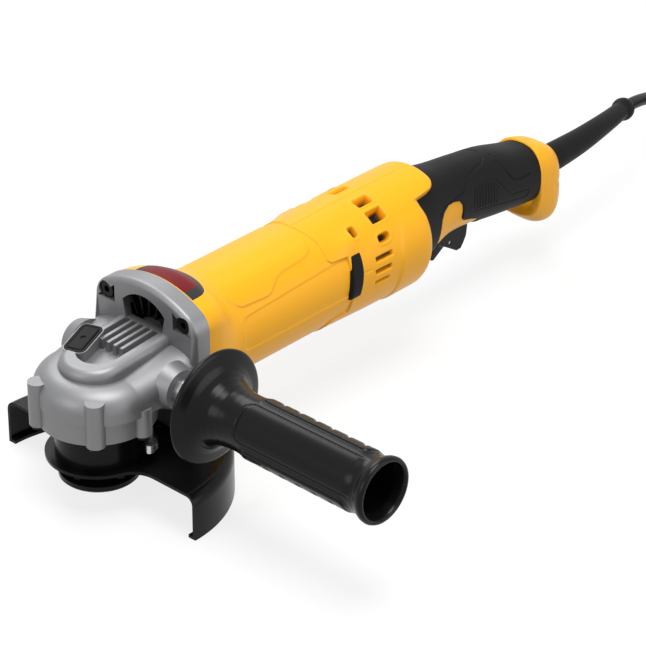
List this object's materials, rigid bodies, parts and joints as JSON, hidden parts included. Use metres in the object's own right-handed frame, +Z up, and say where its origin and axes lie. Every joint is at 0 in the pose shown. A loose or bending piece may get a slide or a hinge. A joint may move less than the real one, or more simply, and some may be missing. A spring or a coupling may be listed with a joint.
{
  "type": "angle grinder",
  "caption": "Corded angle grinder with a right-angle gear head, half wheel guard, screw-in side handle and a long rear handle with a trigger and lock-off lever.",
  "frame": {"origin": "on the spindle axis, at the face of the backing flange that the wheel is clamped against", "axes": "+X along the motor towards the rear handle, +Z up along the spindle away from the wheel, side handle towards -Y"},
  "size_m": [0.7093, 0.2547, 0.106],
  "materials": {
    "yellow": "moulded, light satin",
    "black_plastic": "moulded, satin",
    "rubber": "soft, fine grain",
    "cast": "cast and painted silver grey",
    "steel": "turned",
    "black_steel": "gloss black",
    "lamination": "stacked sheet steel",
    "copper": "enamelled wire",
    "carbon": "pressed carbon"
  },
  "bodies": {
    "body": {"bearing_retainer": "cast", "brush_holders": "black_plastic", "bumper_left": "rubber", "bumper_right": "rubber", "carbon_brushes": "carbon", "control_module": "black_plastic", "cord_clamp": "black_plastic", "cord_clamp_screws": "steel", "cord_coil": "rubber", "cord_lead": "rubber", "cord_protector": "rubber", "cord_tail": "rubber", "cord_tie": "black_plastic", "fan_baffle": "black_plastic", "field_core": "lamination", "field_windings": "copper", "front_bearing": "steel", "gear_case": "cast", "gear_case_screws": "steel", "grip_left": "rubber", "grip_right": "rubber", "handle_left_shell": "yellow", "handle_right_shell": "yellow", "handle_screws": "steel", "lever_pin": "steel", "lock_spring": "steel", "motor_housing": "yellow", "plug_blades": "steel", "plug_body": "rubber", "rear_bearing": "steel", "retainer_screws": "steel", "spindle_bearing": "steel", "spindle_bush": "steel", "switch_module": "black_plastic", "trigger_pin": "steel"},
    "armature": {"armature_shaft": "steel", "armature_core": "lamination", "armature_windings": "copper", "commutator": "copper", "cooling_fan": "black_plastic", "pinion": "steel"},
    "spindle_group": {"spindle": "steel", "backing_flange": "black_steel", "ring_gear": "steel"},
    "nut": {"clamp_nut": "black_steel"},
    "lock": {"lock_button": "black_plastic", "lock_pin": "steel"},
    "guard": {"guard_shell": "black_steel", "guard_collar": "black_steel"},
    "release_lever": {"guard_lever": "steel"},
    "trigger_body": {"trigger": "black_plastic", "lock_lever_pin": "steel"},
    "lock_off": {"lock_lever": "black_plastic"},
    "side_handle": {"side_handle_stud": "steel", "side_handle_grip": "black_plastic"}
  },
  "joints": [
    {"name": "armature_spin", "type": "hinge", "parent": "body", "child": "armature", "pos_m": [0, 0, 0.045], "axis": [1, 0, 0], "continuous": true},
    {"name": "spindle_spin", "type": "hinge", "parent": "body", "child": "spindle_group", "pos_m": [0, 0, 0], "axis": [0, 0, 1], "continuous": true},
    {"name": "nut_off", "type": "slide", "parent": "spindle_group", "child": "nut", "axis": [0, 0, -1], "range_m": [0, 0.03]},
    {"name": "spindle_lock", "type": "slide", "parent": "body", "child": "lock", "axis": [0, 0, -1], "range_m": [0, 0.0035], "stiffness_N_per_m": 900, "springref_m": -0.002, "deforming": ["lock_spring"]},
    {"name": "guard_turn", "type": "hinge", "parent": "body", "child": "guard", "pos_m": [0, 0, 0], "axis": [0, 0, 1], "range_deg": [-90, 90]},
    {"name": "guard_release", "type": "hinge", "parent": "body", "child": "release_lever", "pos_m": [0.0135, -0.02338, 0.01525], "axis": [0, 0, 1], "range_deg": [-12, 0], "stiffness_Nm_per_rad": 0.15, "springref_deg": 5.73},
    {"name": "trigger_squeeze", "type": "hinge", "parent": "body", "child": "trigger_body", "pos_m": [0.255, 0, 0.033], "axis": [0, -1, 0], "range_deg": [0, 8], "stiffness_Nm_per_rad": 0.9, "springref_deg": -11.46},
    {"name": "lock_off_swing", "type": "hinge", "parent": "trigger_body", "child": "lock_off", "pos_m": [0.2624, 0, 0.0206], "axis": [0, 1, 0], "range_deg": [0, 15], "stiffness_Nm_per_rad": 0.05, "springref_deg": -11.46},
    {"name": "side_handle_turn", "type": "hinge", "parent": "body", "child": "side_handle", "pos_m": [0.0225, -0.06, 0.045], "axis": [0, -1, 0], "continuous": true}
  ],
  "couplings": [
    {"joint": "spindle_spin", "follows": "armature_spin", "ratio": 0.33333}
  ]
}
